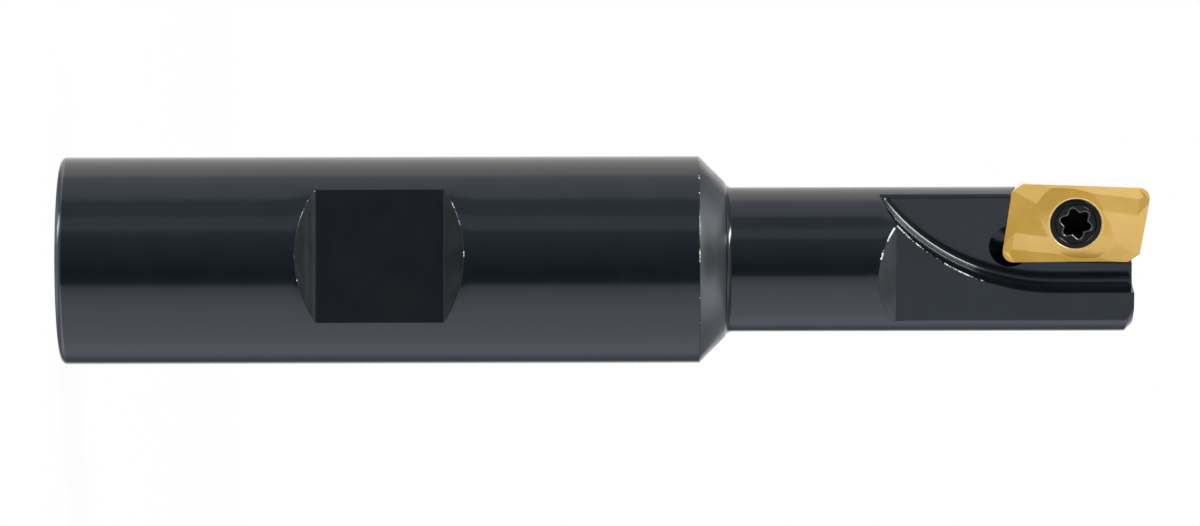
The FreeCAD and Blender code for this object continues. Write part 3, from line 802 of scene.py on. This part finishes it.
# Where the chipped edges lie, along and across the tool.
WORN_STRETCH = (62.0, 70.6)
FLAT_FOOT, ARC_MIDDLE, ARC_TOP = 64.0, -1.5, -3.75
WORN_ROUND = 0.085
WORN_SIDE = 2.0
RUBBED_STRETCHES = [(FLAT_START - 3, FLAT_START), (FLAT_END, 55), (BODY_LENGTH - 0.8, BODY_LENGTH)]
BODY_SMOOTH_ANGLE = math.radians(24)
rubbed_slot = len(body.data.materials)
worn_slot = rubbed_slot + 1


def is_worn(place):
    """Whether a place lies on the chipped edges before and along the gullet's run-out."""
    on_edge = place.x < WORN_SIDE if place.z > FLAT_FOOT else ARC_TOP < place.x < ARC_MIDDLE
    return (WORN_STRETCH[0] < place.z < WORN_STRETCH[1] and on_edge
            and place.y < -GULLET_HEIGHT - GULLET_ROUND)


shape = bmesh.new()
shape.from_mesh(body.data)
bmesh.ops.remove_doubles(shape, verts=shape.verts, dist=2e-3)
bmesh.ops.dissolve_degenerate(shape, edges=shape.edges, dist=1e-3)
convex = [edge for edge in shape.edges
          if edge.is_manifold and edge.is_convex and edge.calc_face_angle() > EDGE_ANGLE]
worn_edges = [edge for edge in convex if all(is_worn(vertex.co) for vertex in edge.verts)]
# These rounds take finishes whose near-white spots are partly bare steel and partly a painted
# highlight.
for face in round_edges(shape, worn_edges, WORN_ROUND, BROKEN_STEPS, clamp=False):
    face.material_index = worn_slot
other_edges = [edge for edge in convex if edge.is_valid and edge.calc_face_angle(0) > EDGE_ANGLE]
for face in round_edges(shape, other_edges, EDGE_ROUND, BROKEN_STEPS, clamp=False):
    if any(low < face.calc_center_median().z < high for low, high in RUBBED_STRETCHES):
        face.material_index = rubbed_slot
bmesh.ops.remove_doubles(shape, verts=shape.verts, dist=1e-3)
open_edges = [edge for edge in shape.edges if not edge.is_manifold]
print(len(convex), "sharp edges rounded; open or shared edges:", len(open_edges))
shape.to_mesh(body.data)
shape.free()
body.data.materials.append(rubbed_black)
body.data.materials.append(worn_black)
print("body finishes:", [material.name for material in body.data.materials])


def finish_piece(piece, sharp_angle):
    """Brings a piece to metres, smooths it by angle and lets larger faces lead the shading."""
    piece.data.transform(Matrix.Scale(MM, 4))
    shape = bmesh.new()
    shape.from_mesh(piece.data)
    for face in shape.faces:
        face.smooth = True
    for edge in shape.edges:
        edge.smooth = not (edge.is_manifold and edge.calc_face_angle() > sharp_angle)
    shape.to_mesh(piece.data)
    shape.free()
    modifier = piece.modifiers.new("weighted_normals", "WEIGHTED_NORMAL")
    modifier.keep_sharp = True
    modifier.weight = 50


finish_piece(body, BODY_SMOOTH_ANGLE)
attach(body, "root")
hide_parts("cutter_body")
report_piece(body)

# %% [markdown]
# ## The insert's outline and face
#
# The insert is pressed from carbide powder and sintered, so its top is one flowing relief: two chip
# grooves that fall and narrow along the long edges, two end faces, and a raised ring around the
# hole. Cutting that from a block would leave hard creases. It is built as rings instead, like a pot
# on a wheel: each ring follows the outline, and a height rule lifts its points.

# %% Insert outline and face
NOSE_RADIUS = 0.85
CORNER_CUT_ALONG, CORNER_CUT_ACROSS = 0.86, 0.72
RIM_RADIUS = 2.12
RING_HEIGHT = 3.19
RING_SLOPE = math.tan(math.radians(12))
EDGE_REACH = CORNER_ALONG + 0.15
EDGE_HIGH, EDGE_LOW = 3.56, 2.75
RAKE = math.tan(math.radians(14))
# Each facet is a plane: its height over the seat at the hole's axis, and its rise along and across.
END_FACET = (2.9015, -0.065, 0.12)
GROOVE_FACET = (3.105, -0.047, -0.033)
GROOVE_END_FACET = (1.9563, -0.301, -0.0647)
BLUNT_FACET = (2.93, 0, 0)
NOSE_TOP, NOSE_REACH, NOSE_SLOPE = 3.5, 5.50, 0.66
DIAGONAL = math.sqrt(0.5)
# How far the line between the face's two equal halves leans, and how wide the creases are.
HALF_TURN = math.radians(26)
BLEND = 0.015
BLUNT_ALONG = CORNER_ALONG - INSERT_WIDTH * math.tan(INSERT_SLOPE)
EDGE_TRIES = 3


def flank_lines(height):
    """The outline's straight sides at a height: each as an outward direction and a distance."""
    inward = (INSERT_THICKNESS - height) * FLANK
    cut = Vector((CORNER_CUT_ALONG + CORNER_CUT_ACROSS * math.sin(INSERT_SLOPE),
                  CORNER_CUT_ACROSS * math.cos(INSERT_SLOPE)))
    cut_outward = cut.normalized()
    blunt_point = Vector((INSERT_WIDTH / 2, BLUNT_ALONG - CORNER_CUT_ALONG))
    end_outward = Vector((math.sin(INSERT_SLOPE), math.cos(INSERT_SLOPE)))
    sides = [(Vector((1, 0)), INSERT_WIDTH / 2), (end_outward, INSERT_LENGTH / 2),
             (cut_outward, cut_outward @ blunt_point)]
    return [(outward * side, distance - inward) for outward, distance in sides for side in (1, -1)]


def outline_reach(angle, lines):
    """How far the insert reaches from its hole in one direction, with its two noses rounded."""
    ray = Vector((math.cos(angle), math.sin(angle)))
    reach = min(distance / (outward @ ray) for outward, distance in lines if outward @ ray > 1e-6)
    # The lines come in pairs: the long sides, the short sides and the blunt corners.
    long_distance, (short_outward, short_distance) = lines[0][1], lines[2]
    for side in (1, -1):
        long_side, short_side = Vector((side, 0)), -side * short_outward
        depth = [long_distance - long_side @ ray * reach, short_distance - short_side @ ray * reach]
        if max(depth) < NOSE_RADIUS:
            across = long_distance - NOSE_RADIUS
            along = (short_distance - NOSE_RADIUS - short_side.x * side * across) / short_side.y
            centre = Vector((side * across, along))
            toward = ray @ centre
            reach = min(reach, toward + math.sqrt(max(0.0, toward ** 2 - centre.length_squared
                                                      + NOSE_RADIUS ** 2)))
    return reach


def soft_least(first, second):
    """The lower of two heights, with their crease rounded."""
    gap = max(BLEND - abs(first - second), 0) / BLEND
    return min(first, second) - gap * gap * BLEND / 4


def soft_most(first, second):
    """The higher of two heights, with their crease rounded."""
    return -soft_least(-first, -second)


def facet(plane, across, along):
    """A facet's height over a place."""
    return plane[0] + plane[1] * along + plane[2] * across


def half_face(across, along):
    """The face's height from one groove and one end face; the other half is the same turned."""
    edge = EDGE_HIGH + (EDGE_LOW - EDGE_HIGH) * (along + EDGE_REACH) / (2 * EDGE_REACH)
    rake_face = edge - (INSERT_WIDTH / 2 - across) * RAKE
    nose_face = NOSE_TOP - max(0, NOSE_REACH - (across - along) * DIAGONAL) * NOSE_SLOPE
    groove = soft_most(facet(GROOVE_FACET, across, along), facet(GROOVE_END_FACET, across, along))
    middle = soft_least(facet(END_FACET, across, along), groove)
    middle = soft_most(middle, facet(BLUNT_FACET, across, along))
    return soft_most(soft_most(middle, rake_face), nose_face)


def face_height(across, along):
    """The height of the insert's face over the seat."""
    low_side = across * math.cos(HALF_TURN) - along * math.sin(HALF_TURN) > 0
    face = half_face(across, along) if low_side else half_face(-across, -along)
    return soft_most(face, RING_HEIGHT - (math.hypot(across, along) - RIM_RADIUS) * RING_SLOPE)


def cutting_edge(angle):
    """Radius and height of the cutting edge in one direction, where the flank meets the face."""
    radius = outline_reach(angle, top_lines)
    for _ in range(EDGE_TRIES):
        height = face_height(radius * math.cos(angle), radius * math.sin(angle))
        radius = outline_reach(angle, flank_lines(height))
    return radius, height


top_lines = flank_lines(INSERT_THICKNESS)
print("insert reach along and across:", round(outline_reach(QUARTER, top_lines), 2),
      round(outline_reach(0, top_lines), 2))

# %% [markdown]
# ## The insert
#
# The stack starts in the bore, opens into the countersink, rolls over the rim, crosses the face to
# the cutting edge and comes down the leaning flanks to the seat, where it closes.

# %% Insert
INSERT_STEPS = 600
# Face rings crowd towards the cutting edge by this power.
FACE_RINGS, FACE_CROWDING = 52, 1.25
FLANK_RINGS = 4
LIP_STEPS = 6
SMOOTH_ANGLE = math.radians(34)
HONE = 0.035
BORE_RADIUS = 1.4
SINK_RADIUS, SINK_TOP = 1.97, 3.10
COUNTERSINK = math.radians(30)


def ring_stack(places, steps, filled=False):
    """Grows a skin ring by ring; each place gives a radius and a height for an angle."""
    shape = bmesh.new()
    bmesh.ops.create_circle(shape, cap_ends=filled, segments=steps, radius=1)
    ring = list(shape.edges)
    for number, place in enumerate(places):
        if number:
            grown = bmesh.ops.extrude_edge_only(shape, edges=ring)["geom"]
            moved = {item for item in grown if isinstance(item, bmesh.types.BMVert)}
            ring = [item for item in grown if isinstance(item, bmesh.types.BMEdge)
                    and item.verts[0] in moved and item.verts[1] in moved]
        else:
            moved = set(shape.verts)
        for vertex in moved:
            angle = math.atan2(vertex.co.y, vertex.co.x)
            radius, height = place(angle)
            vertex.co = (radius * math.cos(angle), radius * math.sin(angle), height)
    return shape, ring


def round_ring(radius, height):
    """A ring of one radius and one height."""
    return lambda angle: (radius, height)


def face_ring(part):
    """A ring on the face, a part of the way from the rim to the cutting edge."""
    def place(angle):
        radius = RIM_RADIUS + (cutting_edge(angle)[0] - HONE - RIM_RADIUS) * part
        return radius, face_height(radius * math.cos(angle), radius * math.sin(angle))
    return place


def flank_ring(part):
    """A ring on the flank, a part of the way from the cutting edge down to the seat."""
    def place(angle):
        height = (cutting_edge(angle)[1] - HONE) * (1 - part)
        return outline_reach(angle, flank_lines(height)), height
    return place


countersink_foot = SINK_TOP - (SINK_RADIUS - BORE_RADIUS) / math.tan(COUNTERSINK)
insert_rings = [round_ring(BORE_RADIUS, 0), round_ring(BORE_RADIUS, countersink_foot)]
insert_rings += [round_ring(SINK_RADIUS + (RIM_RADIUS - SINK_RADIUS) * (1 - math.cos(angle)),
                            SINK_TOP + (RING_HEIGHT - SINK_TOP) * math.sin(angle))
                 for angle in quarter_turn(LIP_STEPS)]
insert_rings += [face_ring(1 - (1 - k / FACE_RINGS) ** FACE_CROWDING)
                 for k in range(1, FACE_RINGS + 1)]
insert_rings += [flank_ring(k / FLANK_RINGS) for k in range(FLANK_RINGS + 1)]
insert_shape, last_ring = ring_stack(insert_rings, INSERT_STEPS)
last_edges = set(last_ring)
first_ring = [edge for edge in insert_shape.edges if edge.is_boundary and edge not in last_edges]
bmesh.ops.bridge_loops(insert_shape, edges=first_ring + last_ring)
bmesh.ops.recalc_face_normals(insert_shape, faces=insert_shape.faces)
# The lip's faces take a lighter gold, partly polish and partly a painted highlight.
for face in insert_shape.faces:
    middle = face.calc_center_median()
    on_lip = SINK_RADIUS < math.hypot(middle.x, middle.y) < RIM_RADIUS and middle.z > SINK_TOP
    face.material_index = 1 if on_lip else 0
insert_shape.transform(on_seat)
print("insert skin has", len(insert_rings), "rings of", INSERT_STEPS, "points")

# %% [markdown]
# ## The coating
#
# The coating is a warm gold mirror over the pressed grain. Its colour is painted paler where it is
# seen at a grazing angle, a painted sheen, and it has pale specks at its shank end. The
# countersink's lip is a lighter gold, partly polished by the screw and partly a painted highlight.

# %% Coating
COATING_IOR = 2.4
COATING_CLOUDS, GRAIN, SPECKS = 420, 9000, 6500
GRAIN_DEPTH = 2e-6
SPECK_COLOUR = (1.0, 0.80, 0.42, 1)
SPECK_LOW, SPECK_HIGH, SPECK_STRENGTH = 0.66, 0.76, 0.35
# The specks fade out between these two places along the tool, in metres.
SPECKS_END, SPECKS_FULL = 0.0752, 0.0742
# Seen at a grazing angle, the colour turns towards near-white: a painted sheen.
SHEEN_START, SHEEN_FULL = 0.78, 0.92
GRAZING_SHEEN_COLOUR = (0.93, 0.90, 0.89, 1)


def gold_nitride(name, first, second, least_rough, most_rough, metallic):
    """A gold-coloured coating whose colour is painted towards near-white where it is seen at a
    grazing angle, a painted sheen.
    """
    material, tree = new_material(name)
    place = object_place(tree)
    tone = group_node(tree, cloud_group, place, clouds_per_metre=COATING_CLOUDS,
                      first=first, second=second)["Color"]
    dots = noise(tree, place, SPECKS, detail=2)
    spots = ranged(tree, dots, SPECK_LOW, SPECK_HIGH, 0, SPECK_STRENGTH)
    along = add(tree, "ShaderNodeSeparateXYZ", {"Vector": place})["Z"]
    specks = times(tree, spots, ranged(tree, along, SPECKS_END, SPECKS_FULL))
    # A painted sheen: the colour turns near-white where the face is seen at a grazing angle.
    facing = add(tree, "ShaderNodeLayerWeight", {"Blend": 0.5})["Facing"]
    coloured = mixed(tree, specks, tone, SPECK_COLOUR)
    colour = mixed(tree, ranged(tree, facing, SHEEN_START, SHEEN_FULL), coloured, GRAZING_SHEEN_COLOUR)
    surface(tree, {"IOR": COATING_IOR, "Metallic": metallic, "Base Color": colour,
                   **grained(tree, GRAIN, GRAIN_DEPTH, least_rough, most_rough)})
    return material


gold_coating = gold_nitride("gold_nitride_coating", (0.86, 0.485, 0.062, 1), (0.94, 0.55, 0.085, 1),
                            0.19, 0.25, 0.38)
# The rim's lighter gold is partly polish and partly a painted highlight.
highlit_rim_gold = gold_nitride("polished_and_highlit_rim_gold", (1.0, 0.64, 0.20, 1), (1.0, 0.68, 0.25, 1),
                        0.22, 0.3, 0.35)
insert = to_object("insert", insert_shape, [gold_coating, highlit_rim_gold])
finish_piece(insert, SMOOTH_ANGLE)
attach(insert, "root")
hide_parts("cutting_insert")
report_piece(insert)

# %% [markdown]
# ## The screw
#
# The head fills the countersink, a hair below the insert's face. Its driver socket has six lobes,
# which are one smooth wave around the axis, so the rings of the socket follow that wave.

# %% Screw
SCREW_STEPS = 288
HEAD_RADIUS = 1.94
HEAD_LINE = 3.06
HEAD_TOP = 3.17
HEAD_ROUND = 0.11
THREAD_RADIUS = 1.25
UNDER_HEAD = 1.865
SCREW_TIP = -2.156
TIP_CHAMFER = 0.25
SOCKET_INNER, SOCKET_OUTER = 0.86, 1.2
SOCKET_DEPTH = 1.1
SOCKET_TURN = math.radians(15.75)
# A power under one makes the lobes wider and the lands between them narrower.
LOBE_SHAPE = 0.9
MOUTH_ROUND, MOUTH_STEPS = 0.15, 6
HEAD_STEPS = 6
# The face inside the head's ring lies this much lower, with a groove at the ring's foot.
FACE_SINK, GROOVE_SINK = 0.02, 0.06
DIMPLE_DEPTH = 0.16
# Faces of the socket are told by a height just under the sunk face.
FACE_EDGE = 0.021


def lobed_ring(grow, height):
    """A ring along the six lobes, a little larger or smaller than the socket."""
    def place(angle):
        wave = (1 + math.cos(6 * (angle - SOCKET_TURN))) / 2
        return SOCKET_INNER + (SOCKET_OUTER - SOCKET_INNER) * wave ** LOBE_SHAPE + grow, height
    return place


socket_floor = HEAD_TOP - SOCKET_DEPTH
screw_rings = [round_ring(0.08, socket_floor - DIMPLE_DEPTH), round_ring(0.5, socket_floor - 0.03),
               lobed_ring(-0.12, socket_floor), lobed_ring(-0.02, socket_floor + 0.02),
               lobed_ring(0, socket_floor + 0.1)]
screw_rings += [lobed_ring(MOUTH_ROUND * (1 - math.cos(angle)),
                           HEAD_TOP - FACE_SINK - MOUTH_ROUND * (1 - math.sin(angle)))
                for angle in quarter_turn(MOUTH_STEPS)]
screw_rings += [round_ring(1.44, HEAD_TOP - FACE_SINK), round_ring(1.50, HEAD_TOP - FACE_SINK),
                round_ring(1.55, HEAD_TOP - GROOVE_SINK), round_ring(1.61, HEAD_TOP)]
screw_rings += [round_ring(HEAD_RADIUS - HEAD_ROUND * (1 - math.sin(angle)),
                           HEAD_TOP - HEAD_ROUND * (1 - math.cos(angle)))
                for angle in quarter_turn(HEAD_STEPS)]
screw_rings += [round_ring(HEAD_RADIUS, HEAD_LINE), round_ring(THREAD_RADIUS, UNDER_HEAD),
                round_ring(THREAD_RADIUS, SCREW_TIP + TIP_CHAMFER),
                round_ring(THREAD_RADIUS - TIP_CHAMFER, SCREW_TIP)]
screw_shape, last_ring = ring_stack(screw_rings, SCREW_STEPS, filled=True)
bmesh.ops.contextual_create(screw_shape, geom=last_ring)
bmesh.ops.recalc_face_normals(screw_shape, faces=screw_shape.faces)
# Faces inside the socket take a near-black, dull finish: painted shade in the recess.
for face in screw_shape.faces:
    middle = face.calc_center_median()
    inside = (math.hypot(middle.x, middle.y) < SOCKET_OUTER + MOUTH_ROUND
              and socket_floor - DIMPLE_DEPTH - TOLERANCE < middle.z < HEAD_TOP - FACE_EDGE)
    in_mouth = inside and middle.z > HEAD_TOP - FACE_SINK - MOUTH_ROUND
    face.material_index = 2 if in_mouth else 1 if inside else 0
screw_shape.transform(on_seat)
print("screw skin has", len(screw_rings), "rings of", SCREW_STEPS, "points")

# %% [markdown]
# ## Oiled steel
#
# The screw is a darker, glossier black than the body. Its socket is painted near-black and nearly
# matt inside, as painted shade in the recess, and the driver has polished the mouth.

# %% Oiled steel
OILED_CLOUDS, DENTS, DENT_DEPTH = 1500, 2600, 4e-6
OIL_TINT = (1.0, 0.93, 0.86, 1)


def oiled_steel(name, ior, first, second, least_rough, most_rough):
    """Oiled black steel with tiny dents."""
    material, tree = new_material(name)
    place = object_place(tree)
    tone = group_node(tree, cloud_group, place, clouds_per_metre=OILED_CLOUDS,
                      first=first, second=second)["Color"]
    surface(tree, {"IOR": ior, "Specular Tint": OIL_TINT, "Base Color": tone,
                   **grained(tree, DENTS, DENT_DEPTH, least_rough, most_rough)})
    return material


oiled_black = oiled_steel("oiled_black_steel", 1.4, (0.0015, 0.0015, 0.0016, 1),
                          (0.006, 0.006, 0.006, 1), 0.12, 0.24)
# The socket's near-black, dull finish is painted shade in the recess.
socket_black = oiled_steel("socket_black_steel", 1.12, (0.0004, 0.0004, 0.0004, 1),
                           (0.002, 0.002, 0.002, 1), 0.4, 0.5)
mouth_steel = oiled_steel("rubbed_socket_mouth", 2.4, (0.015, 0.015, 0.015, 1),
                          (0.05, 0.05, 0.05, 1), 0.12, 0.22)

screw = to_object("screw", screw_shape, [oiled_black, socket_black, mouth_steel])
finish_piece(screw, SMOOTH_ANGLE)
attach(screw, "root")
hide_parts("insert_screw")
report_piece(screw)
